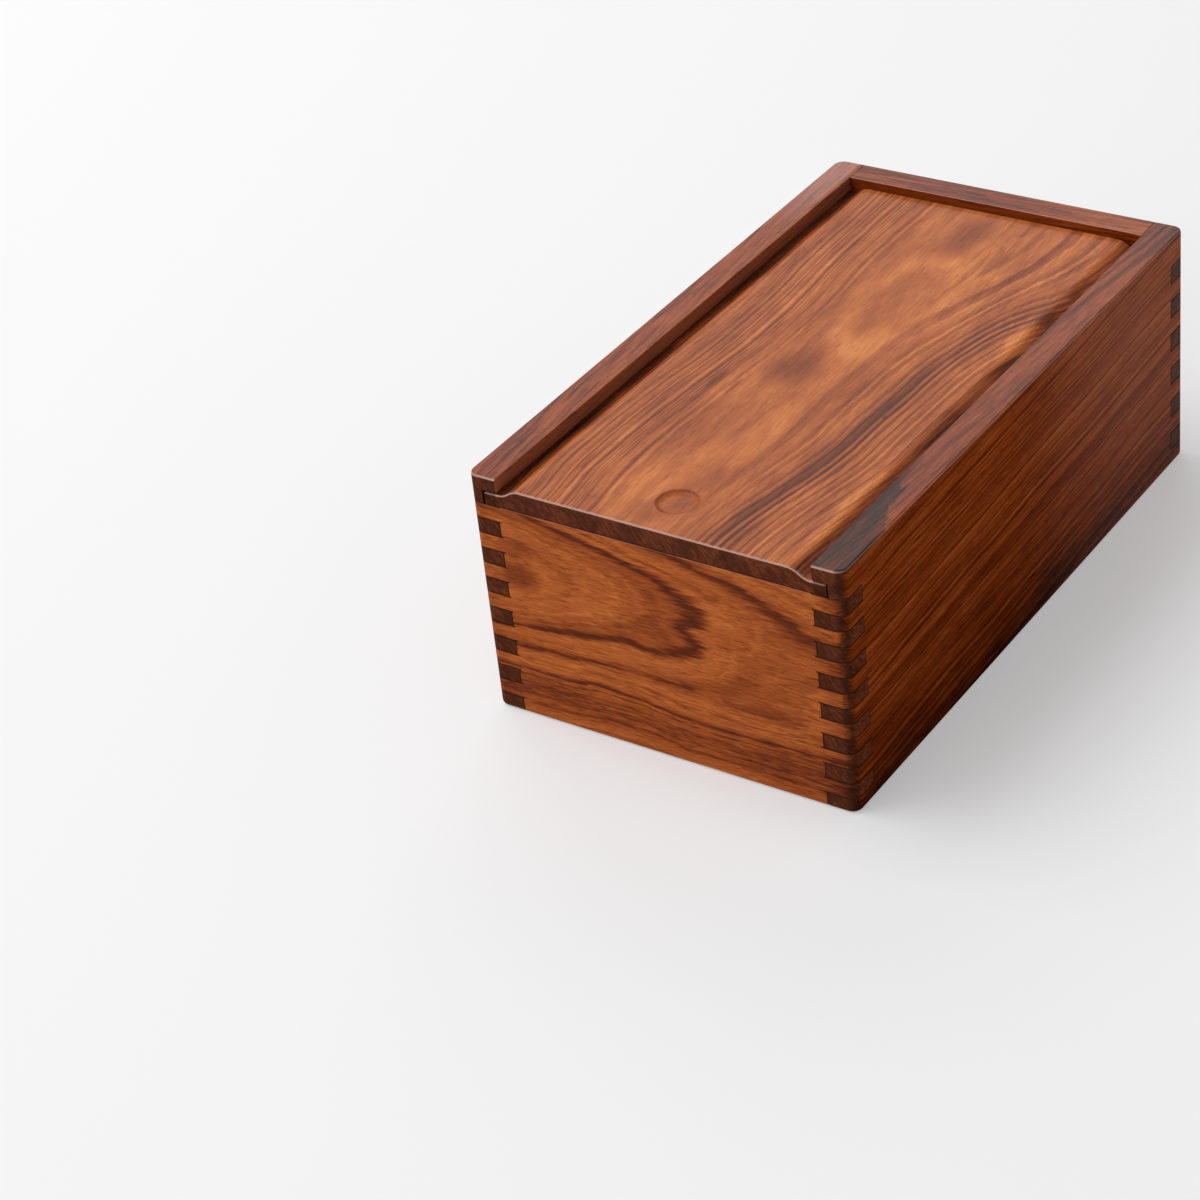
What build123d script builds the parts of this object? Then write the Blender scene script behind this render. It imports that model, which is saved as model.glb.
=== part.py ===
from build123d import *
import os

# A finger-jointed wooden box for chessmen, with a lid board that slides out over the low front board.
# Millimetres. X runs across the box, -Y is the front, where the lid comes out, and +Z is up.
# The origin is at the centre of the base, at the level of the surface that the box stands on.

# Case, outside
case_length = 306.0
case_width = 177.0
case_height = 117.0
upright_corner_radius = 4.8
base_edge_radius = 2.0
rim_edge_radius = 1.1

# The four boards of the case
board_thickness = 14.0
front_finger_count = 14
back_finger_count = 12

# Lid groove in the sides
lip_height = 6.9                # wood left above the groove
lid_groove_height = 6.4
lid_groove_depth = 7.0
lid_groove_stop = 0.8           # wood left between the groove's end and the back board

# Lid
lid_side_clearance = 0.9
lid_top_clearance = 0.4
lid_end_clearance = 0.8         # between the closed lid and the groove's end
moulding_width = 11.4           # curved edge that shows beside each lip
moulding_rise = 3.9             # from the tongue up to the field
lid_end_radius = 1.0            # softened top edge of the lid's front end

# Thumb recess in the lid
recess_setback = 22.0           # from the lid's front end to the recess centre
recess_rim_radius = 9.3
recess_floor_radius = 6.2
recess_depth = 1.5

# Base panel, housed in a groove round the four boards
base_recess = 4.0               # from the standing surface up to the panel
base_panel_thickness = 6.0
base_groove_depth = 6.0
base_panel_clearance = 0.5      # at the panel's edges, for the wood to move

# Cross divider, housed in a dado in each side
divider_thickness = 8.0
divider_offset = 0.0            # from the middle of the box, towards the back
divider_drop = 2.0              # below the lid
dado_depth = 4.0
dado_end_clearance = 0.3

# Cloth lining
baize_thickness = 1.0
baize_margin = 0.5

# Faces and levels that several pieces share
half_length = case_length / 2
half_width = case_width / 2
front_inside = -half_length + board_thickness
back_inside = half_length - board_thickness
side_inside = half_width - board_thickness
lid_groove_top = case_height - lip_height
lid_floor = lid_groove_top - lid_groove_height
lid_groove_end = back_inside - lid_groove_stop
tongue_top = lid_groove_top - lid_top_clearance
field_top = tongue_top + moulding_rise
base_panel_top = base_recess + base_panel_thickness
divider_front = divider_offset - divider_thickness / 2
divider_back = divider_offset + divider_thickness / 2


def block(x_from, x_to, y_from, y_to, z_from, z_to):
    centre = Pos((x_from + x_to) / 2, (y_from + y_to) / 2, (z_from + z_to) / 2)
    return centre * Box(x_to - x_from, y_to - y_from, z_to - z_from)


def both_sides(piece):
    # A cutter or a finger on the right, with its twin on the left
    return piece + mirror(piece, Plane.YZ)


def rounded_case():
    # The outer form that all four boards are sanded to after the glue-up
    case = block(-half_width, half_width, -half_length, half_length, 0, case_height)
    case = fillet(case.edges().filter_by(Axis.Z), upright_corner_radius)
    case = fillet(case.faces().sort_by(Axis.Z)[0].edges(), base_edge_radius)
    return fillet(case.faces().sort_by(Axis.Z)[-1].edges(), rim_edge_radius)


def finger_levels(count):
    # Bottom and top of each finger, from the lid floor down to the base
    pitch = lid_floor / count
    return [(lid_floor - pitch * (n + 1), lid_floor - pitch * n) for n in range(count)]


def end_fingers(levels, y_from, y_to):
    # Every other finger, the highest among them, at both ends of a cross board
    fingers = [block(side_inside, half_width, y_from, y_to, low, high) for low, high in levels[::2]]
    return both_sides(Compound(fingers))


# Both corners are fingered up to the lid floor, and above it the sides run through to the rim
front_fingers = end_fingers(finger_levels(front_finger_count), -half_length, front_inside)
back_fingers = end_fingers(finger_levels(back_finger_count), back_inside, half_length)
base_groove = block(
    -side_inside - base_groove_depth,
    side_inside + base_groove_depth,
    front_inside - base_groove_depth,
    back_inside + base_groove_depth,
    base_recess,
    base_panel_top,
)
outer_form = rounded_case()


def front_board():
    # Stops at the lid floor, so that the lid can pass out over it
    middle = block(-side_inside, side_inside, -half_length, front_inside, 0, lid_floor)
    return ((middle + front_fingers) & outer_form) - base_groove


def back_board():
    # Reaches the rim between the two sides
    middle = block(-side_inside, side_inside, back_inside, half_length, 0, case_height)
    return ((middle + back_fingers) & outer_form) - base_groove


def right_side_board():
    board = block(side_inside, half_width, -half_length, half_length, 0, case_height) & outer_form
    lid_groove = block(
        side_inside,
        side_inside + lid_groove_depth,
        -half_length,
        lid_groove_end,
        lid_floor,
        lid_groove_top,
    )
    dado = block(
        side_inside,
        side_inside + dado_depth,
        divider_front,
        divider_back,
        base_panel_top,
        lid_floor,
    )
    return board - front_fingers - back_fingers - lid_groove - dado - base_groove


def bottom_panel():
    reach = base_groove_depth - base_panel_clearance
    return block(
        -side_inside - reach,
        side_inside + reach,
        front_inside - reach,
        back_inside + reach,
        base_recess,
        base_panel_top,
    )


def divider():
    # Stands on the base panel, with its ends in the dados
    half_span = side_inside + dado_depth - dado_end_clearance
    return block(
        -half_span,
        half_span,
        divider_front,
        divider_back,
        base_panel_top,
        lid_floor - divider_drop,
    )


def baize(y_from, y_to):
    # A sheet laid on the base panel between two walls
    return block(
        -side_inside + baize_margin,
        side_inside - baize_margin,
        y_from + baize_margin,
        y_to - baize_margin,
        base_panel_top,
        base_panel_top + baize_thickness,
    )


def lid_section():
    # Across the box: a flat field, an ogee down each long edge, and a tongue for the groove.
    # Both arcs of the ogee are level where they meet the flats and join halfway between them.
    tongue_edge = side_inside + lid_groove_depth - lid_side_clearance
    field_edge = side_inside - moulding_width
    halfway = ((side_inside + field_edge) / 2, (tongue_top + field_top) / 2)
    half = [
        Line((0, lid_floor), (tongue_edge, lid_floor)),
        Line((tongue_edge, lid_floor), (tongue_edge, tongue_top)),
        Line((tongue_edge, tongue_top), (side_inside, tongue_top)),
        TangentArc((side_inside, tongue_top), halfway, tangent=(-1, 0)),
        TangentArc((field_edge, field_top), halfway, tangent=(1, 0)),
        Line((field_edge, field_top), (0, field_top)),
        Line((0, field_top), (0, lid_floor)),
    ]
    section = make_face(half)
    return section + mirror(section, Plane.YZ)


def thumb_recess():
    # A round dish with a flat floor and a cove up to a crisp rim
    floor_level = field_top - recess_depth
    outline = [
        Line((0, field_top), (0, floor_level)),
        Line((0, floor_level), (recess_floor_radius, floor_level)),
        TangentArc((recess_floor_radius, floor_level), (recess_rim_radius, field_top), tangent=(1, 0)),
        Line((recess_rim_radius, field_top), (0, field_top)),
    ]
    dish = revolve(Plane.XZ * make_face(outline), Axis.Z)
    return Pos(0, -half_length + recess_setback, 0) * dish


def sliding_lid():
    lid_length = half_length + lid_groove_end - lid_end_clearance
    lid = extrude(Plane.XZ.offset(half_length) * lid_section(), -lid_length)
    front_end = lid.faces().sort_by(Axis.Y)[0]
    middle_of_tongue = (lid_floor + tongue_top) / 2
    upper_edges = [edge for edge in front_end.edges() if edge.bounding_box().min.Z > middle_of_tongue]
    lid = fillet(upper_edges, lid_end_radius)
    return lid - thumb_recess()


right_side = right_side_board()
pieces = {
    "front_board": front_board(),
    "back_board": back_board(),
    "right_side_board": right_side,
    "left_side_board": mirror(right_side, Plane.YZ),
    "bottom_panel": bottom_panel(),
    "divider": divider(),
    "front_baize": baize(front_inside, divider_front),
    "back_baize": baize(divider_back, back_inside),
    "sliding_lid": sliding_lid(),
}

os.makedirs("parts", exist_ok=True)
for node, piece in pieces.items():
    export_step(piece, f"parts/{node}.step")
    print(node, round(piece.volume / 1000, 1), "cubic centimetres")
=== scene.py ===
import bpy
import bmesh
import math
from mathutils import Matrix, Vector, noise


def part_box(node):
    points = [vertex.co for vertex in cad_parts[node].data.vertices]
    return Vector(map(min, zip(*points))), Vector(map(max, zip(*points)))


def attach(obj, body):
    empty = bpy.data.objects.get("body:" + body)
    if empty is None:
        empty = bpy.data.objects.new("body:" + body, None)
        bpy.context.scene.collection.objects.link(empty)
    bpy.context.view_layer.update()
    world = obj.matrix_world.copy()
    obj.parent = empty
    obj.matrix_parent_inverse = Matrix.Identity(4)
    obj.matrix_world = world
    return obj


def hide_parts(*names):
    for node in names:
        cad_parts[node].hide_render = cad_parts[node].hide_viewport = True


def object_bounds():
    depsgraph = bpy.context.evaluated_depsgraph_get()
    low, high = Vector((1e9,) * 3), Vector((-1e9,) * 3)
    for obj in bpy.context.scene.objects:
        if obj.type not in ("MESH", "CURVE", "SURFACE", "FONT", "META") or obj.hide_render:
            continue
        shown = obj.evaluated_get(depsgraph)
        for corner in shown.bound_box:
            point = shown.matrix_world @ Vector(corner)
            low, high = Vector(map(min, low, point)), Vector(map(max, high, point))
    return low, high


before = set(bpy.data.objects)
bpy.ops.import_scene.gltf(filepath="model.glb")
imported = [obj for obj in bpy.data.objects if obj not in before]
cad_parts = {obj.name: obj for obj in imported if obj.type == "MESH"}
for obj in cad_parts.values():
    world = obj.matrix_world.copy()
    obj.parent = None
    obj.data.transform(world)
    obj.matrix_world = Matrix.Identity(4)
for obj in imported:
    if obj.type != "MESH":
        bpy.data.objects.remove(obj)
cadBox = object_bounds()
print("frame loaded, sides", [round(side, 4) for side in cadBox[1] - cadBox[0]])


# Camera

cameraLook = {
    "place": (0.6294, -1.0209, 0.7968),
    "aim": (-0.0925, -0.0677, 0.0),     # the point of the floor in the middle of the picture
    "roll": 6.72,                       # degrees; the right side of the picture dips
    "lens": 96.3,
    "sensor": 36.0,
    "clip": (0.01, 60),
}


def makeCamera(look):
    place, aim = Vector(look["place"]), Vector(look["aim"])
    sight = (aim - place).normalized()
    level = sight.cross(Vector((0, 0, 1))).normalized()
    upright = level.cross(sight)
    roll = math.radians(look["roll"])
    right = level * math.cos(roll) - upright * math.sin(roll)
    up = right.cross(sight)
    data = bpy.data.cameras.new("camera")
    data.lens = look["lens"]
    data.sensor_width = look["sensor"]
    data.clip_start, data.clip_end = look["clip"]
    camera = bpy.data.objects.new("camera", data)
    bpy.context.scene.collection.objects.link(camera)
    turn = Matrix((right, up, -sight)).transposed()
    camera.matrix_world = Matrix.Translation(place) @ turn.to_4x4()
    bpy.context.scene.camera = camera


makeCamera(cameraLook)
bpy.context.scene.view_settings.view_transform = "Standard"
print("camera ready")


# Shader maths: a wire is one socket, and an expression on wires adds the nodes

def addNode(tree, kind, settings=None, inputs=None):
    made = tree.nodes.new(kind)
    for name, value in (settings or {}).items():
        if name == "stops":
            setStops(made.color_ramp, value)
        else:
            setattr(made, name, value)
    byIdentifier = {socket.identifier: socket for socket in made.inputs}
    for key, value in (inputs or {}).items():
        socket = made.inputs[key] if isinstance(key, int) else byIdentifier.get(key) or made.inputs[key]
        if isinstance(value, Wire):
            value = value.socket
        if isinstance(value, bpy.types.NodeSocket):
            tree.links.new(value, socket)
        else:
            socket.default_value = value
    return made


class Wire:
    def __init__(self, finish, socket):
        self.finish = finish
        self.socket = socket

    def math(self, operation, *values):
        return self.finish.node("ShaderNodeMath", {"operation": operation}, dict(enumerate(values)))

    def __add__(self, other):
        return self.math("ADD", self, other)

    def __sub__(self, other):
        return self.math("SUBTRACT", self, other)

    def __rsub__(self, other):
        return self.math("SUBTRACT", other, self)

    def __mul__(self, other):
        return self.math("MULTIPLY", self, other)

    def __truediv__(self, other):
        return self.math("DIVIDE", self, other)

    def __abs__(self):
        return self.math("ABSOLUTE", self)

    __radd__ = __add__
    __rmul__ = __mul__

    def root(self):
        return self.math("SQRT", self)

    def fraction(self):
        return self.math("FRACT", self)

    def least(self, other):
        return self.math("MINIMUM", self, other)

    def most(self, other):
        return self.math("MAXIMUM", self, other)

    def step(self, low, high):
        # Soft step from 0 at low to 1 at high, where low may be the larger
        settings = {"interpolation_type": "SMOOTHSTEP"}
        values = {"Value": self, "From Min": low, "From Max": high}
        return self.finish.node("ShaderNodeMapRange", settings, values)

    def band(self, middle, rise, fall):
        # A peak of 1 at middle, which fades over rise below it and over fall above it
        return self.step(middle - rise, middle) * self.step(middle + fall, middle)


class Finish:
    def __init__(self, name):
        self.material = bpy.data.materials.new(name)
        self.material.use_nodes = True
        self.tree = self.material.node_tree
        self.tree.nodes.clear()

    def node(self, kind, settings=None, inputs=None, output=0):
        made = addNode(self.tree, kind, settings, inputs)
        for index, socket in enumerate(made.outputs):
            if output in (index, socket.identifier):
                return Wire(self, socket)

    def mix(self, share, first, second):
        values = {"Factor_Float": share, "A_Color": solid(first), "B_Color": solid(second)}
        return self.node("ShaderNodeMix", {"data_type": "RGBA"}, values, "Result_Color")

    def noise(self, place, detail, rough, dimensions="3D"):
        where = "W" if dimensions == "1D" else "Vector"
        values = {where: place, "Scale": 1.0, "Detail": detail, "Roughness": rough}
        return self.node("ShaderNodeTexNoise", {"noise_dimensions": dimensions}, values)

    def point(self, x, y, z):
        return self.node("ShaderNodeCombineXYZ", None, {"X": x, "Y": y, "Z": z})

    def coordinates(self, output):
        whole = self.node("ShaderNodeTexCoord", None, None, output)
        return [self.node("ShaderNodeSeparateXYZ", None, {0: whole}, axis) for axis in range(3)]

    def surface(self, values):
        shader = self.node("ShaderNodeBsdfPrincipled", None, values)
        self.node("ShaderNodeOutputMaterial", None, {"Surface": shader})
        return self.material


def solid(color):
    return color if isinstance(color, Wire) else (*color, 1)


def setStops(ramp, stops):
    while len(ramp.elements) < len(stops):
        ramp.elements.new(1.0)
    for element, (place, color) in zip(ramp.elements, stops):
        element.position = place
        element.color = (*color, 1)


def distance(first, second):
    return (first * first + second * second).root()


def blot(first, second, spot):
    # A soft patch on two axes: its middle on each, its reach on each, and its strength in the middle
    middleOne, middleTwo, reachOne, reachTwo, strength = spot
    one, two = first - middleOne, second - middleTwo
    spread = one * one * (1 / reachOne ** 2) + two * two * (1 / reachTwo ** 2)
    return spread.step(1.0, 0.0) * strength


def drawSpots(first, second, spots, drawn=0):
    for spot in spots:
        drawn = blot(first, second, spot).most(drawn)
    return drawn


def drawRings(ring, rings, drawn, share=1.0):
    for radius, soft, hard, dark in rings:
        drawn = (ring.band(radius, soft, hard) * share * dark).most(drawn)
    return drawn


# Places on the box, in millimetres

frontFace = cadBox[0].y * 1000
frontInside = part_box("front_board")[1].y * 1000
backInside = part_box("back_board")[0].y * 1000
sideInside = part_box("right_side_board")[0].x * 1000
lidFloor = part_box("front_board")[1].z * 1000
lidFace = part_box("sliding_lid")[1].z * 1000


# Rosewood is a solid: growth rings round a pith that lies outside the board, cut by its faces.
# Lengths are millimetres, and a tone runs from 0, a black vein, to 1, the palest wood.

woodLook = {
    "lightTones": [
        (0.00, (0.045, 0.012, 0.006)),
        (0.20, (0.155, 0.032, 0.010)),
        (0.40, (0.290, 0.065, 0.016)),
        (0.60, (0.415, 0.104, 0.024)),
        (0.80, (0.530, 0.148, 0.036)),
        (1.00, (0.660, 0.212, 0.056)),
    ],
    "redTones": [
        (0.00, (0.026, 0.006, 0.002)),
        (0.25, (0.120, 0.019, 0.003)),
        (0.50, (0.225, 0.038, 0.006)),
        (0.75, (0.310, 0.062, 0.011)),
        (1.00, (0.390, 0.095, 0.021)),
    ],
    "goldTones": [
        (0.00, (0.035, 0.012, 0.008)),
        (0.20, (0.138, 0.033, 0.013)),
        (0.40, (0.268, 0.064, 0.020)),
        (0.60, (0.412, 0.108, 0.031)),
        (0.80, (0.550, 0.165, 0.043)),
        (1.00, (0.700, 0.246, 0.066)),
    ],
    "endTones": [
        (0.00, (0.020, 0.006, 0.003)),
        (0.50, (0.088, 0.022, 0.009)),
        (1.00, (0.220, 0.056, 0.022)),
    ],
    "poreColor": (0.030, 0.008, 0.005),
    # Colour of the painted highlight on the upper edges, and of the painted light on the low wall beside the
    # lid
    "highlightColor": (0.700, 0.360, 0.260),
    "paintedHighlight": 0.22,               # how strong the painted highlight along the upper edges is
    "frontHighlight": 0.34,          # how much stronger still the painted highlight is at the front
    "wallHighlight": 0.15,           # how pale the painted light is on the low wall beside the lid's left edge, and where that wall is
    "wallAcross": (-72, -74),
    "wallHeight": (109, 110),
    # Colour of the dark glue lines, and of the painted shade in the lid groove, on the lid's tongue and
    # underside, and in the front right corner
    "jointAndShadeColor": (0.012, 0.004, 0.002),
    "cornerShade": 0.52,              # how dark the painted shade in the rounded front right corner is
    "cornerShadeAcross": (83.5, 87),
    "cornerShadeAlong": (-148, -151.5),
    "sideGloss": 0.06,          # weight of the lacquer on upright faces
    "rightGloss": 0.17,         # on the right side it comes in from the middle to the back
    "rightGlossFrom": (-30, 100),
    "rightFace": (82, 84),
    "topGloss": 0.27,           # on faces that look up, which are rubbed to more of a shine
    "leftBackGloss": 0.27,      # how much more towards the back of the left rim
    "leftBackGlossFrom": (70, 135),
    "leftRim": (-76, -77),
    "edgeGloss": 0.45,          # along the upper edges, where hands polish it
    "frontGloss": 0.55,         # how much more of it at the front
    "glossRoughness": 0.18,
    "roughness": 0.55,
    "reliefStrength": 0.25,
    "reliefDepth": 0.00006,
    "rimFrom": (115.0, 116.4),  # height at which a board's rim starts and is in full
}


# Chance detail: how long and how wide its patches are, its detail and roughness, and a shift of its own
woodChance = {
    "wander": (70, 24, 2.0, 0.5, 7.0),
    "cloud": (34, 12, 2.5, 0.55, 19.0),
    "fleck": (13, 1.0, 2.5, 0.6, 0.0),
    "hair": (6, 0.55, 2.0, 0.6, 11.0),
    "pore": (7, 0.6, 1.0, 0.5, 5.0),
}


# How strongly each kind of chance detail shows
woodMix = {
    "ring": 0.8,
    "thread": 0.30,             # thin dark lines along the rings
    "cloud": 0.45,
    "fleck": 0.75,
    "hair": 0.55,
    "pore": 0.45,
    "end": 0.46,                # how pale the end grain is
    "topGloss": woodLook["topGloss"],
}


class Timber(Finish):
    def __init__(self, name, grain, face, seed):
        super().__init__(name)
        self.x, self.y, self.z = [axis * 1000 for axis in self.coordinates("Object")]
        axes = {"X": self.x, "Y": self.y, "Z": self.z}
        self.normals = dict(zip("XYZ", self.coordinates("Normal")))
        self.grain = grain
        self.seed = seed
        self.along = axes[grain]
        self.depth = axes[face]
        self.across = axes[({"X", "Y", "Z"} - {grain, face}).pop()]

    def grainNoise(self, length, width, detail, rough, shift):
        # Noise drawn out along the grain
        place = self.point(
            self.along * (1 / length) + self.seed + shift,
            self.across * (1 / width) + self.seed,
            self.depth * (1 / width) + shift,
        )
        return self.noise(place, detail, rough)

    def steps(self, given):
        # The sum of soft steps: each has its axis, where it starts, where it is in full, and its height
        return sum(getattr(self, axis).step(start, end) * height for axis, start, end, height in given)

    def onRim(self):
        return self.z.step(*woodLook["rimFrom"])

    def roughen(self, ring, drift, fray, frayLength):
        wander = self.grainNoise(*woodChance["wander"])
        fibre = self.grainNoise(frayLength, 1.5, 2.0, 0.55, 3.0)
        return ring + (wander - 0.5) * (2 * drift) + (fibre - 0.5) * (2 * fray)

    def patchy(self, patches, start, end, share):
        # Fades the figure here and there along the grain, by the share at most
        return self.grainNoise(*patches).step(start, end) * share + (1 - share)

    def endGrain(self, cloud, paleness, look):
        # End grain drinks the finish and turns dark
        slanted = self.point((self.across + self.depth) * 0.6, (self.across - self.depth) * 0.22, self.seed)
        speck = self.noise(slanted, 3.0, 0.6)
        tone = (speck - 0.5) * 1.1 + (cloud - 0.5) * 0.7 + paleness
        return self.node("ShaderNodeValToRGB", {"stops": look["endTones"]}, {"Fac": tone})

    def paintedHighlight(self, edgeShine, look):
        # Painted highlight: the upper edges are painted pale, most of all in front; the low wall beside the
        # lid's left edge is painted paler as painted light
        upward = self.normals["Z"]
        inFront = self.normals["Y"].step(-0.2, -0.6)
        edges = upward.step(0.10, 0.30) * upward.step(0.78, 0.70) * edgeShine
        wall = self.x.step(*look["wallAcross"]) * self.z.step(*look["wallHeight"])
        wall = self.normals["X"].step(0.5, 0.9) * wall
        return (edges * (inFront * look["frontHighlight"] + look["paintedHighlight"])).most(wall * look["wallHighlight"])

    def lacquer(self, topGloss, edgeShine, look):
        # Weight of the gloss: upright faces have little, upper faces more, and handled edges most
        upward = self.normals["Z"]
        inFront = self.normals["Y"].step(-0.2, -0.6)
        onRight = self.normals["X"].step(0.5, 0.9) * self.x.step(*look["rightFace"])
        gloss = onRight * self.y.step(*look["rightGlossFrom"]) * look["rightGloss"]
        gloss = gloss + (1 - onRight) * look["sideGloss"]
        leftBack = self.x.step(*look["leftRim"]) * self.y.step(*look["leftBackGlossFrom"])
        gloss = gloss.most(upward.step(0.3, 0.9) * (leftBack * look["leftBackGloss"] + topGloss))
        edges = upward.step(0.06, 0.25) * upward.step(0.99, 0.93) * edgeShine
        return gloss.most(edges * (inFront * look["frontGloss"] + look["edgeGloss"]))

    def close(self, ring, tone, veins, stops, mix, jointsAndShade, edgeShine=1.0, look=woodLook):
        # Chance rings, fibres and pores over the drawn figure
        fine = self.noise(ring * 0.62 + self.seed, 3.0, 0.65, "1D")
        thread = self.noise(ring * 0.50 + self.seed + 40, 1.5, 0.5, "1D").step(0.56, 0.66)
        fleck = self.grainNoise(*woodChance["fleck"])
        hair = self.grainNoise(*woodChance["hair"])
        cloud = self.grainNoise(*woodChance["cloud"])
        pore = self.grainNoise(*woodChance["pore"]).step(0.62, 0.72)
        tone = tone + (fine - 0.5) * mix["ring"] + (cloud - 0.5) * mix["cloud"]
        tone = tone + (fleck - 0.5) * mix["fleck"] + (hair - 0.5) * mix["hair"]
        veins = veins.most(thread * mix["thread"])
        tone = tone * (1 - veins * 0.88)
        wood = self.node("ShaderNodeValToRGB", {"stops": stops}, {"Fac": tone})
        wood = self.mix(pore * mix["pore"], wood, look["poreColor"])
        facing = abs(self.normals[self.grain]).step(0.40, 0.92)
        wood = self.mix(facing, wood, self.endGrain(cloud, mix["end"], look))
        # Painted highlight on the upper edges, and painted light on the low wall beside the lid
        wood = self.mix(self.paintedHighlight(edgeShine, look), wood, look["highlightColor"])

        # Glue darkens the joints; painted shade darkens the lid groove, the lid's tongue and underside, and
        # the rounded front right corner
        cornerShaded = self.x.step(*look["cornerShadeAcross"]) * self.y.step(*look["cornerShadeAlong"]) * look["cornerShade"]
        wood = self.mix(cornerShaded.most(jointsAndShade), wood, look["jointAndShadeColor"])
        relief = self.node("ShaderNodeBump", None, {
            "Strength": look["reliefStrength"],
            "Distance": look["reliefDepth"],
            "Height": (1 - pore) * 0.8 + fleck * 0.4,
        })
        return self.surface({
            "Base Color": wood,
            "Roughness": look["roughness"],
            "Specular IOR Level": 0.0,
            "Coat Weight": self.lacquer(mix["topGloss"], edgeShine, look) * (1 - jointsAndShade),
            "Coat Roughness": look["glossRoughness"],
            "Normal": relief,
        })


# Glue lines are dark hairlines where the boards' fingers meet

jointLook = {
    "frontFingers": 14,
    "backFingers": 12,
    "width": 0.62,
    "darkness": 0.95,
}


def glueLines(timber, look=jointLook):
    # Level lines between the fingers, and a line at their roots, which the other board's ends meet
    x, y, z = abs(timber.x), timber.y, timber.z
    width = look["width"]
    lines = 0
    for count, past in (look["frontFingers"], frontInside - y), (look["backFingers"], y - backInside):
        pitch = lidFloor / count
        level = abs((z / pitch + 0.5).fraction() - 0.5) * pitch
        root = abs(x - sideInside) if timber.grain == "Y" else abs(past)
        lines = (level.least(root).step(width, 0) * past.step(-width, 0)).most(lines)
    onFingers = x.step(sideInside - 2 * width, sideInside - width) * z.step(lidFloor + 0.1, lidFloor)
    return lines * onFingers * look["darkness"]


# Front board: one long loop of the rings, open to the left, over level streaks

frontLook = {
    "pithHeight": 75.0,
    "pithDepth": 27.3,          # behind the face at the left end, which is where the rings start to lean
    "leftEnd": -71.0,
    "lean": 0.143,
    "leanFrom": (22.0, 62.0),   # rings lie level below the first height, and lean in full above the second
    "lobes": [                  # across, height, reach each way, how far the rings bulge there
        (10, 56, 30, 14, 2.6),
        (15, 67, 18, 5.5, -0.9),
        (80, 66, 34, 24, 1.0),
        (46, 36, 26, 9.5, 2.6),
    ],
    "ripple": [("x", -52, -28, 2.7), ("x", -16, 12, -2.7)],
    "rippleFrom": (44, 28),
    "drift": 2.2,               # how far the rings wander, which is less above the level streaks
    "steadyFrom": (28, 46),
    "fray": (1.7, 16),
    "smudges": [                # across, height, reach each way, how dark
        (52, 39, 30, 6, 0.30),
        (-69, 85, 12, 7, 0.45),
        (-68, 71, 14, 9, 0.62),
    ],
    "rings": [                  # radius, soft side, hard side, darkness
        (37.0, 1.4, 1.0, 0.30),
        (40.0, 2.5, 1.2, 0.95),
        (40.3, 10.0, 1.0, 0.34),
        (57.9, 1.7, 1.2, 0.90),
        (60.8, 1.1, 0.9, 0.46),
        (64.0, 1.3, 1.0, 0.60),
        (66.6, 1.0, 0.8, 0.50),
        (69.2, 1.1, 0.9, 0.60),
        (72.6, 1.0, 0.8, 0.46),
    ],
    "upperRings": [(42.6, 1.0, 0.8, 0.55)],
    "upperRingsFrom": (82, 88),
    "wideRings": [(47.6, 2.6, 1.2, 0.92), (47.8, 8.0, 1.0, 0.22)],
    "turnBack": (72, 58, 46, 23, 0.85),     # where the wide rings turn back and fade
    "clearing": (32, 43, 24, 10, 0.5),      # where every dark line is faint
    "patches": ((34, 9, 2.0, 0.5, 31.0), 0.25, 0.50, 0.25),
    "tone": 0.66,
    "shades": [                 # axis, where it starts, where it is in full, how much paler
        ("z", 34, 14, -0.24),
        ("x", 10, 60, -0.06),
        ("z", 8, 5, 0.14),
        # Darker towards both ends; at the right end, by the corner, this darkening is painted shade
        ("x", -73, -84, -0.14),
        ("x", 73, 84, -0.21),
    ],
    "edgeShine": 0.3,             # the painted edge highlight and the edge gloss are weaker along its top edge
    "mix": {**woodMix, "thread": 0.16, "fleck": 0.70, "hair": 0.62, "cloud": 0.42, "end": 0.67},
}


def makeFrontWood(look):
    timber = Timber("frontRosewood", "X", "Y", 3.1)
    x, y, z = timber.x, timber.y, timber.z
    lean = z.step(*look["leanFrom"]) * look["lean"]
    depth = (x - look["leftEnd"]) * lean + look["pithDepth"] - (y - frontFace)
    ring = distance(z - look["pithHeight"], depth)
    for lobe in look["lobes"]:
        ring = ring - blot(x, z, lobe)
    ring = ring + timber.steps(look["ripple"]) * z.step(*look["rippleFrom"])
    ring = timber.roughen(ring, look["drift"] - z.step(*look["steadyFrom"]), *look["fray"])
    veins = drawSpots(x, z, look["smudges"])
    veins = drawRings(ring, look["rings"], veins)
    veins = drawRings(ring, look["upperRings"], veins, z.step(*look["upperRingsFrom"]))
    veins = drawRings(ring, look["wideRings"], veins, 1 - blot(x, z, look["turnBack"]))
    veins = veins * (1 - blot(x, z, look["clearing"])) * timber.patchy(*look["patches"])
    tone = timber.steps(look["shades"]) + look["tone"]
    jointsAndShade = glueLines(timber)
    return timber.close(ring, tone, veins, woodLook["lightTones"], look["mix"], jointsAndShade, look["edgeShine"])


# Lid: a pale flame along the middle, a dark wavy bundle on its right, straight streaks on its left

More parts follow.
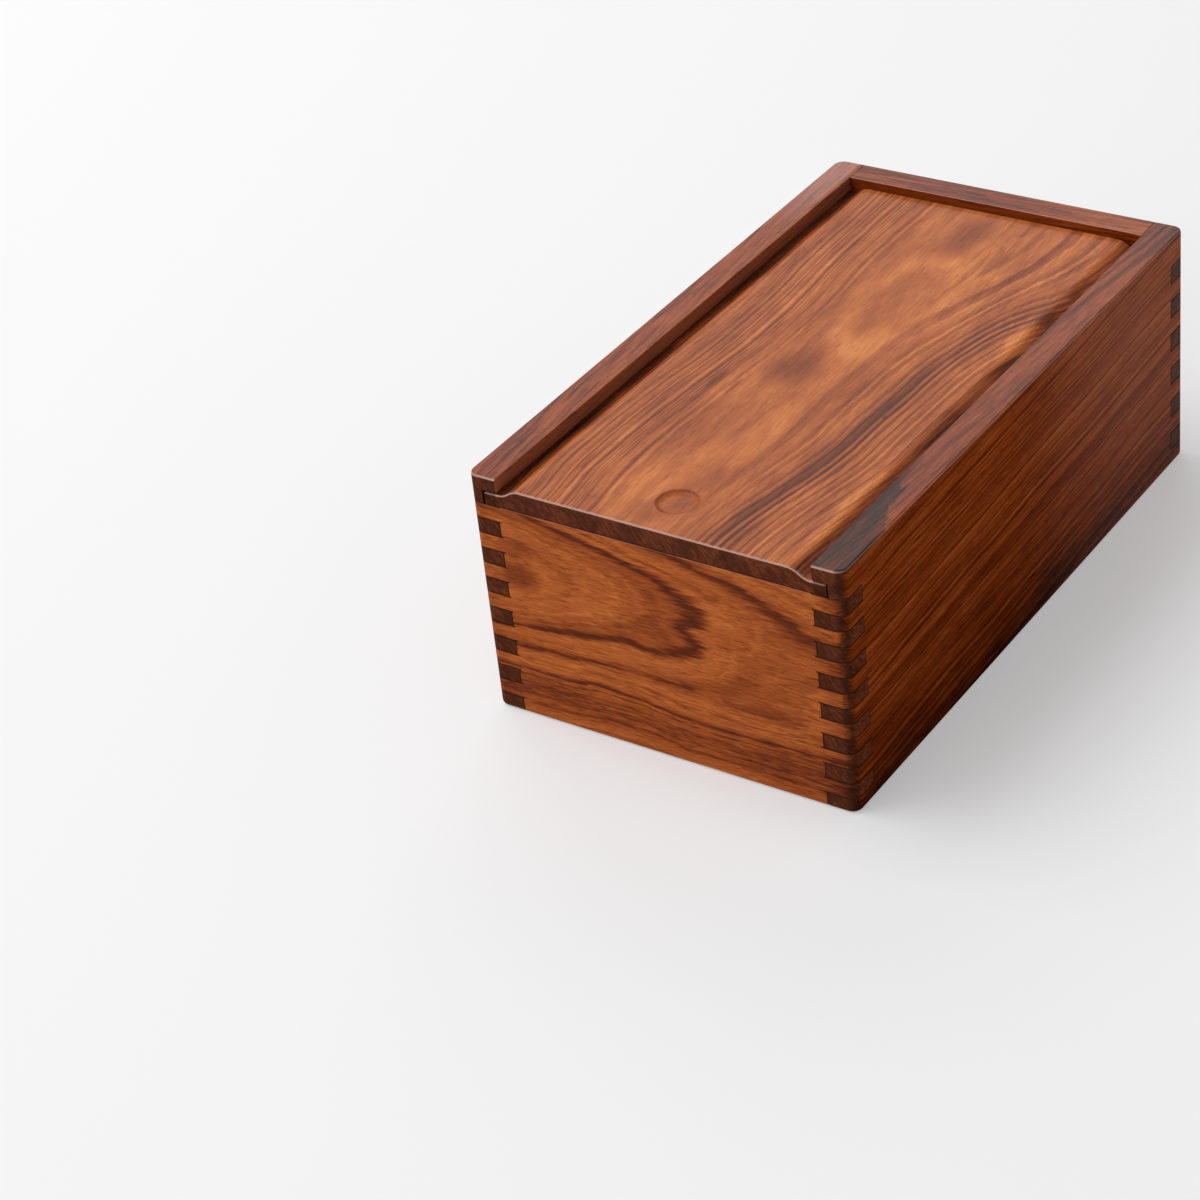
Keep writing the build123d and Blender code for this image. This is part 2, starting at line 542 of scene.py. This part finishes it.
lidLook = {
    "pithHeight": 49.4,         # over the lid's face
    "bends": [                  # where across each comes in, and how far the rings stray along the lid
        ((-12, 30), [("y", -60, -150, -12.5), ("y", 0, -50, -1.3)]),
        ((-16, 38), [("y", -10, 130, 28.0)]),
        ((40, 76), [("y", 30, 85, 9.0)]),
        ((-8, -34), [("y", -153, -118, -4.0), ("y", -105, 0, 6.5), ("y", 20, 90, -3.5)]),
    ],
    "rough": (1.3, 0.40, 30),
    "rightFrom": (6, 20),       # the bundle lies right of the middle, and the straight streaks left of it
    "leftFrom": (-22, -34),
    "shadow": [(64.9, 4.4, 4.2, 0.72)],     # a broad soft ring under the bundle, and where it comes and goes
    "shadowFrom": (-190, -110),
    "shadowTo": (60, -10),
    "bundleFades": ("y", 20, 95, -0.42),
    "bundle": [                 # radius, soft side, hard side, darkness
        (60.8, 1.6, 1.0, 0.50),
        (63.4, 1.8, 1.0, 0.78),
        (66.0, 2.0, 1.0, 0.95),
        (68.2, 1.3, 0.7, 0.88),
        (70.4, 1.3, 0.7, 0.72),
        (73.6, 0.9, 0.6, 0.56),
        (75.3, 0.6, 0.5, 0.30),
        (78.8, 0.9, 0.6, 0.50),
        (82.0, 1.2, 0.7, 0.46),
    ],
    "streaks": [
        (57.5, 0.8, 0.5, 0.44),
        (60.4, 1.0, 0.6, 0.60),
        (62.3, 0.5, 0.4, 0.34),
        (64.8, 0.9, 0.6, 0.66),
        (67.3, 0.6, 0.4, 0.44),
        (69.7, 0.8, 0.5, 0.56),
        (71.6, 0.5, 0.4, 0.36),
        (73.9, 0.9, 0.6, 0.66),
        (77.2, 0.8, 0.5, 0.50),
    ],
    "glows": [                  # across, along, reach each way, how pale
        (64, -108, 5, 50, 0.85),
        (65, 37, 6, 20, 1.1),
        (5, -76, 10, 40, 0.8),
        (8, 10, 12, 22, 1.0),
        (-32, -40, 4, 26, 0.6),
        (-16, -130, 18, 26, 0.4),
        (18, 78, 9, 26, 0.5),
        (-40, 42, 14, 42, 0.55),
        (-4, -98, 14, 24, 0.5),
    ],
    "smudges": [                # across, along, reach each way, how dark
        (-11, -21, 17, 20, 0.38),
        (1, 112, 10, 30, 0.42),
        (44, -40, 1.6, 2.4, 0.80),
        (-26, -78, 9, 32, 0.22),
        (-8, -142, 14, 10, 0.22),
        (28, -138, 16, 22, 0.20),
        (-62, 60, 9, 90, 0.18),
        (-37, -42, 2.2, 14, 0.55),
        (-31, -52, 1.6, 18, 0.45),
        (-27, -45, 1.4, 10, 0.40),
        (71, 20, 4, 20, 0.80),
        (67, 62, 6, 10, 0.60),
        (68, 86, 4, 8, 0.50),
    ],
    "eye": (2, 47, 18, 42),     # a pale ring: its middle and its reach each way
    "eyeRing": (1.0, 0.45, 0.35),
    "eyePale": 0.8,
    "clearing": (65, 37, 6, 19, 0.9),       # where every dark line is faint
    "calm": (-3, 0, 36, 400, 1.0),          # the middle, where chance rings and flecks are quieter
    "patches": ((46, 8, 2.0, 0.5, 31.0), 0.22, 0.55, 0.35),
    "recess": -131,
    "recessRadius": (10.2, 9.6),
    # Painted shade: how much darker the recess and the mouldings beside the lips are painted
    "recessDark": 0.07,
    "mouldingDark": 0.28,
    "mouldingHeight": (113.5, 112.4),
    "leftMoulding": [(-60, -64), (-76, -74)],
    "leftMouldingDark": 0.13,   # how much more painted shade the left one has, and how much less the right one's back has
    "rightMouldingPale": 0.18,
    "rightMouldingFrom": (20, 70),
    "tone": 0.64,
    "glow": 0.26,
    "leftDark": 0.02,
    # Painted shade: the tongue, which runs in the groove, and the underside are painted dark
    "tongueFrom": (74.6, 75.4),
    "tongueShade": 0.5,
    "undersideFrom": (104.5, 104.0),
    "undersideShade": 0.7,
    "mix": {**woodMix, "thread": 0.0, "hair": 0.42, "cloud": 0.66, "pore": 0.32, "end": 0.55,
            "topGloss": 0.18},
}


def makeLidWood(look):
    timber = Timber("lidRosewood", "Y", "Z", 1.3)
    x, y, z = timber.x, timber.y, timber.z
    right, left = x.step(*look["rightFrom"]), x.step(*look["leftFrom"])
    stray = sum(timber.steps(bends) * x.step(*across) for across, bends in look["bends"])
    ring = distance(x - stray, look["pithHeight"] + (lidFace - z))
    ring = timber.roughen(ring, *look["rough"])

    # Dark lines
    veins = drawSpots(x, y, look["smudges"])
    shadowed = y.step(*look["shadowFrom"]) * y.step(*look["shadowTo"]) * right
    veins = drawRings(ring, look["shadow"], veins, shadowed)
    veins = drawRings(ring, look["bundle"], veins, right * (timber.steps([look["bundleFades"]]) + 1))
    veins = drawRings(ring, look["streaks"], veins, left)
    thread = timber.noise(ring * 0.75 + 60, 3.0, 0.65, "1D").step(0.54, 0.63) * 0.28
    veins = veins.most(thread * right.most(left))
    veins = veins * (1 - blot(x, y, look["clearing"])) * timber.patchy(*look["patches"])

    # Pale places
    middleX, middleY, reachX, reachY = look["eye"]
    eye = distance((x - middleX) * (1 / reachX), (y - middleY) * (1 / reachY)).band(*look["eyeRing"])
    glow = drawSpots(x, y, look["glows"], eye * look["eyePale"])

    # Painted shade: the recess and the mouldings beside the lips are painted darker than the field
    dish = distance(x, y - look["recess"]).step(*look["recessRadius"])
    inner, outer = look["leftMoulding"]
    mouldingShade = x.step(*inner) * x.step(*outer) * look["leftMouldingDark"] + look["mouldingDark"]
    mouldingShade = mouldingShade - right * y.step(*look["rightMouldingFrom"]) * look["rightMouldingPale"]
    mouldingShade = mouldingShade * z.step(*look["mouldingHeight"]) * (1 - dish) * (1 - abs(x).step(74, 76) * 0.5)
    tone = glow * look["glow"] - left * look["leftDark"] - mouldingShade - dish * look["recessDark"]
    # Painted shade on the tongue and on the underside
    onTongue, underneath = abs(x).step(*look["tongueFrom"]), z.step(*look["undersideFrom"])
    jointsAndShade = (onTongue * look["tongueShade"]).most(underneath * look["undersideShade"])
    calm = blot(x, y, look["calm"])
    mix = {**look["mix"], "ring": 1.0 - calm * 0.75, "fleck": 0.40 - calm * 0.16}
    hollow = z.step(113.5, 112.8) * y.step(-152, -151) * 0.8    # less painted edge highlight and edge gloss along the front end's mouldings
    # Neither painted edge highlight nor edge gloss in the recess
    edgeShine = (1 - dish) * (1 - hollow)
    return timber.close(ring, tone + look["tone"], veins, woodLook["goldTones"], mix, jointsAndShade, edgeShine)


# The other boards are cut with the rings nearly square to their faces, which gives straight streaks

sideLook = {
    "pithAcross": -150.0,
    "pithDepth": -60.0,
    "lean": 0.05,
    "rough": (1.8, 0.5, 26),
    "tone": 0.54,
    "mix": {**woodMix, "ring": 1.30, "thread": 0.50, "fleck": 0.70, "hair": 0.55, "end": 0.48},
}


def makeStraightWood(name, grain, face, seed, look, marks=None):
    timber = Timber(name, grain, face, seed)
    across = timber.across - look["pithAcross"] - timber.along * look["lean"]
    ring = timber.roughen(distance(across, timber.depth - look["pithDepth"]), *look["rough"])
    veins = timber.noise(ring * 0.30 + seed, 2.5, 0.6, "1D").step(0.56, 0.72) * 0.5
    tone = timber.noise(ring * 0.09 + seed + 9, 2.0, 0.5, "1D") * 0.5 - 0.25 + look["tone"]
    jointsAndShade = 0.0
    if marks:
        veins, tone, jointsAndShade = marks(timber, veins, tone, look)
    return timber.close(ring, tone, veins, woodLook["redTones"], look["mix"], jointsAndShade)


# Where the lid groove is painted dark, as painted shade
grooveLook = {
    "across": [(74.55, 75.0), (81.9, 81.6)],
    "along": (138.6, 138.3),
    "height": [(103.5, 103.65), (110.3, 110.15)],
    "dark": 0.8,
}


def grooveShadeAndGlue(timber, look=grooveLook):
    # Painted shade: the lid groove is painted dark, together with the glue lines
    x, y, z = abs(timber.x), timber.y, timber.z
    (inner, outer), (lower, upper) = look["across"], look["height"]
    groove = x.step(*inner) * x.step(*outer) * z.step(*lower) * z.step(*upper) * y.step(*look["along"])
    return (groove * look["dark"]).most(glueLines(timber))


def rimFigure(timber, slope):
    # Dark flecks that run slantwise over the rim
    slant = timber.point(timber.y * 0.034, (timber.x - timber.y * slope) * 0.52, 3.3)
    return timber.noise(slant, 3.0, 0.6).step(0.48, 0.64) * timber.onRim()


rightLook = {
    **sideLook,
    "patchEdge": 90.0,          # how far out the rim's black patch reaches at its middle, and how it tapers
    "patchMiddle": -127.0,
    "patchTaper": 0.30,
    "patchDark": 0.90,
    "tailEdge": 77.0,
    "tailFrom": (-52, -78),
    "tailDark": 0.75,
    "ragged": 15.0,
    "shades": [("y", -10, 110, 0.19), ("z", 50, 112, 0.11)],    # painted light below the rim: paler towards the back and towards the top
    # painted shade: darker towards the bottom
    "foot": ("z", 40, 4, -0.30),
    "rimPaler": 0.11,
    "rimBack": ("y", 100, 140, -0.22),
    "figure": 0.50,
    "backFigure": ("y", 70, 130, 0.25),
    "figureSlope": 0.06,
}


def rightMarks(timber, veins, tone, look):
    # A nearly black patch fills the rim's front end, and thins out into a streak along its inner edge
    x, y, z = timber.x, timber.y, timber.z
    edge = timber.grainNoise(12, 3, 3.0, 0.65, 43.0) * look["ragged"] - look["ragged"] / 2
    streaks = timber.grainNoise(20, 1.6, 2.5, 0.6, 61.0).step(0.40, 0.75) * 0.20
    taper = (y - look["patchMiddle"]) * look["patchTaper"]
    patch = (look["patchEdge"] - taper - x + edge).step(-0.8, 0.8)
    tail = (look["tailEdge"] - x + edge * 0.25).step(-0.8, 0.8) * y.step(*look["tailFrom"])
    patch = patch.most(tail * look["tailDark"]) * z.step(115.2, 116.4)
    # Painted light and shade below the rim: paler towards the back and the top, darker towards the bottom
    tone = tone + timber.steps(look["shades"]) * z.step(115.8, 115.0) + timber.steps([look["foot"]])
    tone = tone * (1 - patch * (look["patchDark"] - streaks))
    paler = timber.steps([look["rimBack"]]) + look["rimPaler"]
    figure = timber.steps([look["backFigure"]]) + look["figure"]
    veins = veins.most(rimFigure(timber, look["figureSlope"]) * figure)
    return veins, tone + timber.onRim() * (1 - patch) * paler, grooveShadeAndGlue(timber)


quietMix = {**sideLook["mix"], "ring": 1.05, "thread": 0.42}
leftLook = {
    **sideLook,
    "pithDepth": 60.0,
    "rimPaler": 0.18,
    "wallPaler": 0.42,          # painted light: the low wall beside the lid is painted paler
    "wallAcross": (-75.2, -74.8),
    "wallHeight": (109.6, 110.4),
    "figure": 0.60,
    "frontFigure": ("y", -60, -90, 0.25),
    "figureSlope": -0.05,
    "mix": quietMix,
}


def leftMarks(timber, veins, tone, look):
    figure = timber.steps([look["frontFigure"]]) + look["figure"]
    veins = veins.most(rimFigure(timber, look["figureSlope"]) * figure)
    # Painted light on the low wall beside the lid
    wall = timber.x.step(*look["wallAcross"]) * timber.z.step(*look["wallHeight"])
    paler = (timber.onRim() * look["rimPaler"]).most(wall * look["wallPaler"])
    return veins, tone + paler, grooveShadeAndGlue(timber)


backLook = {
    **sideLook,
    "tone": 0.55,
    "rimPaler": 0.08,
    "rimRight": ("x", 30, 66, 0.30),
    "rimMiddle": (0, 60, 32),   # where the rim is darker, and how far that reaches to the left and right
    "rimMiddleDark": 0.20,
    "figure": 0.70,
    "mix": quietMix,
}


def backMarks(timber, veins, tone, look):
    rim = timber.onRim()
    figure = timber.grainNoise(30, 1.8, 3.0, 0.6, 51.0).step(0.48, 0.64) * rim
    middle = timber.x.band(*look["rimMiddle"]) * look["rimMiddleDark"]
    paler = timber.steps([look["rimRight"]]) - middle + look["rimPaler"]
    return veins.most(figure * look["figure"]), tone + rim * paler, glueLines(timber)


frontWood = makeFrontWood(frontLook)
lidWood = makeLidWood(lidLook)
rightWood = makeStraightWood("rightRosewood", "Y", "X", 5.2, rightLook, rightMarks)
leftWood = makeStraightWood("leftRosewood", "Y", "X", 11.7, leftLook, leftMarks)
backWood = makeStraightWood("backRosewood", "X", "Y", 8.4, backLook, backMarks)
panelWood = makeStraightWood("panelRosewood", "Y", "Z", 15.0, {**sideLook, "tone": 0.45})
dividerWood = makeStraightWood("dividerRosewood", "X", "Y", 17.5, {**sideLook, "tone": 0.50})
print("wood ready")


# Boards: copies of the frame's boards, with every arris and joint line softened

boardLook = {
    "arris": 0.00040,
    "jointLine": 0.00016,
    "weld": 0.000001,
    "flatAngle": 0.5,           # degrees; faces that turn less than this are one flat
    "sharpAngle": 40.0,         # edges that turn more than this are softened
    "rounds": 2,
}


def inFingers(middle):
    # Where the boards meet: both ends of the sides, from just over the ground up to the lid floor
    x, y, z = middle * 1000
    slack, foot = 0.2, 3
    atEnd = y < frontInside + slack or y > backInside - slack
    return atEnd and abs(x) > sideInside - slack and foot < z < lidFloor - slack


def dressBoard(node, name, material, body, look=boardLook):
    board = bpy.data.objects.new(name, bpy.data.meshes.new(name))
    bpy.context.scene.collection.objects.link(board)
    shape = bmesh.new()
    shape.from_mesh(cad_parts[node].data)
    bmesh.ops.remove_doubles(shape, verts=shape.verts, dist=look["weld"])
    flat, sharp = math.radians(look["flatAngle"]), math.radians(look["sharpAngle"])
    bmesh.ops.dissolve_limit(shape, angle_limit=flat, verts=shape.verts, edges=shape.edges)
    weights = shape.edges.layers.float.new("bevel_weight_edge")
    for edge in shape.edges:
        if len(edge.link_faces) == 2 and edge.calc_face_angle() > sharp:
            middle = (edge.verts[0].co + edge.verts[1].co) / 2
            edge[weights] = look["jointLine"] / look["arris"] if inFingers(middle) else 1.0
    shape.to_mesh(board.data)
    shape.free()
    board.data.shade_smooth()
    board.data.materials.append(material)
    bevel = board.modifiers.new("arris", "BEVEL")
    bevel.limit_method = "WEIGHT"
    bevel.width = look["arris"]
    bevel.segments = look["rounds"]
    board.modifiers.new("flats", "WEIGHTED_NORMAL").weight = 100
    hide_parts(node)
    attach(board, body)


for node, name, material, body, slotName in [
    ("front_board", "frontBoard", frontWood, "case", "case_wood"),
    ("back_board", "backBoard", backWood, "case", "case_wood"),
    ("left_side_board", "leftSideBoard", leftWood, "case", "case_wood"),
    ("right_side_board", "rightSideBoard", rightWood, "case", "case_wood"),
    ("bottom_panel", "bottomPanel", panelWood, "case", "base_wood"),
    ("divider", "dividerBoard", dividerWood, "case", "divider_wood"),
    ("sliding_lid", "slidingLid", lidWood, "lid", "lid_wood"),
]:
    dressBoard(node, name, material, body)
print("boards ready")


# Baize: a sheet of napped cloth laid on the floor of each compartment

baizeLook = {
    "color": (0.011, 0.072, 0.030),
    "paleColor": (0.030, 0.125, 0.058),
    "darkColor": (0.004, 0.030, 0.013),
    "cell": 0.004,              # between the points of its mesh
    "edgeSteps": (0.0, 0.0003, 0.0008, 0.0018),     # points near its cut edges, where it thins
    "edgeDrop": 0.0004,
    "puff": 0.00016,            # how far its top rises and falls
    "puffScale": 90,
    "fibers": 170000.0,         # in a square metre
    "fiberLength": 0.0016,
    "fiberRadius": 0.00005,
    "fiberSpread": (0.5, 1.2),  # shortest and longest, as shares of that length
    "curl": [(0, 0, -0.05), (0.4, 0, 0.42), (0.9, 0.3, 0.12)],
    "lean": 0.35,               # how far a fibre tips at most, in radians
    "flatness": 0.7,            # fibres grow where the cloth looks up at least this much
    "seed": 7,
}


def makeFelt(look):
    felt = Finish("feltedBaize")
    x, y, z = [axis * 1000 for axis in felt.coordinates("Object")]
    broad = felt.noise(felt.point(x * 0.045, y * 0.045, z * 0.045), 3.0, 0.6).step(0.35, 0.65)
    alongLint = felt.noise(felt.point(x * 0.55, y * 2.2, z * 2.0), 3.0, 0.65)
    acrossLint = felt.noise(felt.point(x * 2.2 + 40, y * 0.55, z * 2.0), 3.0, 0.65)
    lint = alongLint.most(acrossLint)
    color = felt.mix(lint.step(0.42, 0.70), look["darkColor"], look["color"])
    color = felt.mix(broad * 0.35 + lint.step(0.60, 0.80) * 0.4, color, look["paleColor"])
    bump = felt.node("ShaderNodeBump", None, {"Strength": 0.6, "Distance": 0.0003, "Height": lint})
    return felt.surface({
        "Base Color": color,
        "Roughness": 0.95,
        "Specular IOR Level": 0.1,
        "Sheen Weight": 0.25,
        "Sheen Roughness": 0.6,
        "Sheen Tint": (0.35, 0.75, 0.45, 1),
        "Normal": bump,
    })


def clothStations(low, high, look):
    # Places along one side: close together at both cut edges, and even between them
    first, last = low + look["edgeSteps"][-1], high - look["edgeSteps"][-1]
    count = round((last - first) / look["cell"])
    between = [first + (last - first) * step / count for step in range(1, count)]
    lowEdge = [low + step for step in look["edgeSteps"]]
    highEdge = [high - step for step in look["edgeSteps"][::-1]]
    return lowEdge + between + highEdge


def makeCloth(name, low, high, look, material):
    across, along = clothStations(low.x, high.x, look), clothStations(low.y, high.y, look)
    shape = bmesh.new()

    def addLayer(height):
        return [[shape.verts.new((x, y, height(x, y))) for y in along] for x in across]

    def topHeight(x, y):
        inset = min(x - low.x, high.x - x, y - low.y, high.y - y)
        thinning = look["edgeDrop"] * max(0.0, 1 - inset / look["edgeSteps"][-1]) ** 2
        return high.z - thinning + look["puff"] * noise.noise(Vector((x, y, 0)) * look["puffScale"])

    def addFace(*corners):
        shape.faces.new(corners)

    bottom, top = addLayer(lambda x, y: low.z), addLayer(topHeight)
    for column in range(len(across) - 1):
        for row in range(len(along) - 1):
            for layer in (bottom, top):
                near, far = layer[column], layer[column + 1]
                addFace(near[row], far[row], far[row + 1], near[row + 1])
    for side in (0, -1):
        for row in range(len(along) - 1):
            addFace(bottom[side][row], bottom[side][row + 1], top[side][row + 1], top[side][row])
        for column in range(len(across) - 1):
            ends = bottom[column][side], bottom[column + 1][side], top[column + 1][side], top[column][side]
            addFace(*ends)
    bmesh.ops.recalc_face_normals(shape, faces=shape.faces)
    cloth = bpy.data.objects.new(name, bpy.data.meshes.new(name))
    bpy.context.scene.collection.objects.link(cloth)
    shape.to_mesh(cloth.data)
    shape.free()
    cloth.data.shade_smooth()
    cloth.data.materials.append(material)
    return cloth


def makeNapTree(look):
    # Short curled fibres stand on the cloth's upper face
    tree = bpy.data.node_groups.new("baizeNap", "GeometryNodeTree")
    for name, kind in [
        ("Cloth", "Geometry"), ("Fibers", "Float"), ("Length", "Float"),
        ("Radius", "Float"), ("Seed", "Int"), ("Felt", "Material"),
    ]:
        tree.interface.new_socket(name, in_out="INPUT", socket_type="NodeSocket" + kind)
    tree.interface.new_socket("Nap", in_out="OUTPUT", socket_type="NodeSocketGeometry")
    given = addNode(tree, "NodeGroupInput").outputs

    def work(kind, settings, inputs, output=0):
        return addNode(tree, kind, settings, inputs).outputs[output]

    def reckon(operation, first, second):
        return work("ShaderNodeMath", {"operation": operation}, {0: first, 1: second})

    normal = work("GeometryNodeInputNormal", None, None)
    upward = work("ShaderNodeSeparateXYZ", None, {0: normal}, "Z")
    onTop = reckon("GREATER_THAN", upward, look["flatness"])
    points = work("GeometryNodeDistributePointsOnFaces", {"distribute_method": "RANDOM"}, {
        "Mesh": given["Cloth"], "Selection": onTop, "Density": given["Fibers"], "Seed": given["Seed"],
    }, "Points")
    start, middle, end = look["curl"]
    curl = work("GeometryNodeCurveQuadraticBezier", None, {
        "Resolution": 3, "Start": start, "Middle": middle, "End": end,
    })
    slender = reckon("DIVIDE", given["Radius"], given["Length"])
    ring = work("GeometryNodeCurvePrimitiveCircle", None, {"Resolution": 3, "Radius": slender})
    fiber = work("GeometryNodeCurveToMesh", None, {"Curve": curl, "Profile Curve": ring, "Fill Caps": True})
    lean = look["lean"]
    turn = work("FunctionNodeRandomValue", {"data_type": "FLOAT_VECTOR"}, {
        "Min": (-lean, -lean, 0), "Max": (lean, lean, 2 * math.pi), "Seed": given["Seed"],
    })
    shortest, longest = look["fiberSpread"]
    share = work("FunctionNodeRandomValue", {"data_type": "FLOAT"}, {
        "Min_001": shortest, "Max_001": longest, "Seed": given["Seed"],
    }, 1)
    placed = work("GeometryNodeInstanceOnPoints", None, {
        "Points": points, "Instance": fiber, "Rotation": turn,
        "Scale": reckon("MULTIPLY", share, given["Length"]),
    })
    real = work("GeometryNodeRealizeInstances", None, {0: placed})
    felted = work("GeometryNodeSetMaterial", None, {"Geometry": real, "Material": given["Felt"]})
    addNode(tree, "NodeGroupOutput", None, {0: felted})
    return tree


def makeNap(cloth, name, tree, look, material):
    grower = bpy.data.objects.new("grower", cloth.data.copy())
    bpy.context.scene.collection.objects.link(grower)
    modifier = grower.modifiers.new("nap", "NODES")
    modifier.node_group = tree
    sizes = {
        "Fibers": look["fibers"], "Length": look["fiberLength"], "Radius": look["fiberRadius"],
        "Seed": look["seed"], "Felt": material,
    }
    for socket in tree.interface.items_tree:
        if socket.name in sizes:
            modifier[socket.identifier] = sizes[socket.name]
    grown = grower.evaluated_get(bpy.context.evaluated_depsgraph_get())
    nap = bpy.data.objects.new(name, bpy.data.meshes.new_from_object(grown))
    bpy.context.scene.collection.objects.link(nap)
    bpy.data.objects.remove(grower)
    return nap


felt = makeFelt(baizeLook)
napTree = makeNapTree(baizeLook)
for node, name in [("front_baize", "frontBaize"), ("back_baize", "backBaize")]:
    low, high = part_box(node)
    cloth = makeCloth(name, low, high, baizeLook, felt)
    nap = makeNap(cloth, name + "Nap", napTree, baizeLook, felt)
    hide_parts(node)
    for piece in (cloth, nap):
        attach(piece, "case")
print("baize ready")


# Floor and lights

stageLook = {
    "floorSize": 16.0,
    "floorColor": (0.91, 0.91, 0.915),
    "floorSeen": (0.94, 0.94, 0.94),
    "seenShare": 0.35,          # how much of the floor's look doesn't depend on the lamps
    "horizon": (1.2, 4.0),      # between these distances the floor fades into the background
    "seenBy": ("Is Camera Ray", "Is Glossy Ray", "Is Transmission Ray"),
    "white": (1.0, 1.0, 1.0),
    "worldLight": 0.34,
    "worldSeen": 0.93,
    "lampAim": (0, 0, 0.06),
}


def makeFloor(look):
    half = look["floorSize"] / 2
    mesh = bpy.data.meshes.new("floor")
    corners = [(-half, -half, 0), (half, -half, 0), (half, half, 0), (-half, half, 0)]
    mesh.from_pydata(corners, [], [(0, 1, 2, 3)])
    floor = bpy.data.objects.new("floor", mesh)
    bpy.context.scene.collection.objects.link(floor)
    paint = Finish("floorPaint")
    matt = paint.node("ShaderNodeBsdfDiffuse", None, {"Color": solid(look["floorColor"])})
    glow = paint.node("ShaderNodeEmission", None, {"Color": solid(look["floorSeen"])})
    rays = [paint.node("ShaderNodeLightPath", None, None, name) for name in look["seenBy"]]
    x, y = paint.coordinates("Object")[:2]
    far = distance(x, y).step(*look["horizon"])
    seen = rays[0].most(rays[1]).most(rays[2]) * (far * (1 - look["seenShare"]) + look["seenShare"])
    blend = paint.node("ShaderNodeMixShader", None, {0: seen, 1: matt, 2: glow})
    paint.node("ShaderNodeOutputMaterial", None, {"Surface": blend})
    mesh.materials.append(paint.material)


def makeWorld(look):
    # The lamps' fill light is dim, and what a ray sees behind the floor's edge is as pale as the floor
    world = bpy.data.worlds.new("studio")
    bpy.context.scene.world = world
    world.use_nodes = True
    tree = world.node_tree
    tree.nodes.clear()
    white = solid(look["white"])
    dim = addNode(tree, "ShaderNodeBackground", None, {"Color": white, "Strength": look["worldLight"]})
    seen = addNode(tree, "ShaderNodeBackground", None, {"Color": white, "Strength": look["worldSeen"]})
    rays = addNode(tree, "ShaderNodeLightPath").outputs
    share = rays[look["seenBy"][0]]
    for name in look["seenBy"][1:]:
        larger = addNode(tree, "ShaderNodeMath", {"operation": "MAXIMUM"}, {0: share, 1: rays[name]})
        share = larger.outputs[0]
    blend = addNode(tree, "ShaderNodeMixShader", None, {0: share, 1: dim.outputs[0], 2: seen.outputs[0]})
    addNode(tree, "ShaderNodeOutputWorld", None, {"Surface": blend.outputs[0]})


lampLooks = [
    {"name": "overheadBox", "place": (-1.9, -0.6, 3.1), "size": (2.5, 2.5), "radiance": 3.9},
    {"name": "backLeftBox", "place": (-2.2, 2.9, 2.4), "size": (3.3, 2.1), "radiance": 2.1},
    {"name": "frontLeftBox", "place": (-1.7, -3.8, 2.0), "size": (3.4, 2.1), "radiance": 2.0},
]


def makeLamp(look, aim):
    data = bpy.data.lights.new(look["name"], "AREA")
    data.shape = "RECTANGLE"
    data.size, data.size_y = look["size"]
    data.energy = look["radiance"] * math.pi * data.size * data.size_y
    lamp = bpy.data.objects.new(look["name"], data)
    bpy.context.scene.collection.objects.link(lamp)
    place = Vector(look["place"])
    turn = (Vector(aim) - place).to_track_quat("-Z", "Y")
    lamp.matrix_world = Matrix.Translation(place) @ turn.to_matrix().to_4x4()


makeFloor(stageLook)
makeWorld(stageLook)
for lampLook in lampLooks:
    makeLamp(lampLook, stageLook["lampAim"])
print("floor and lights ready")
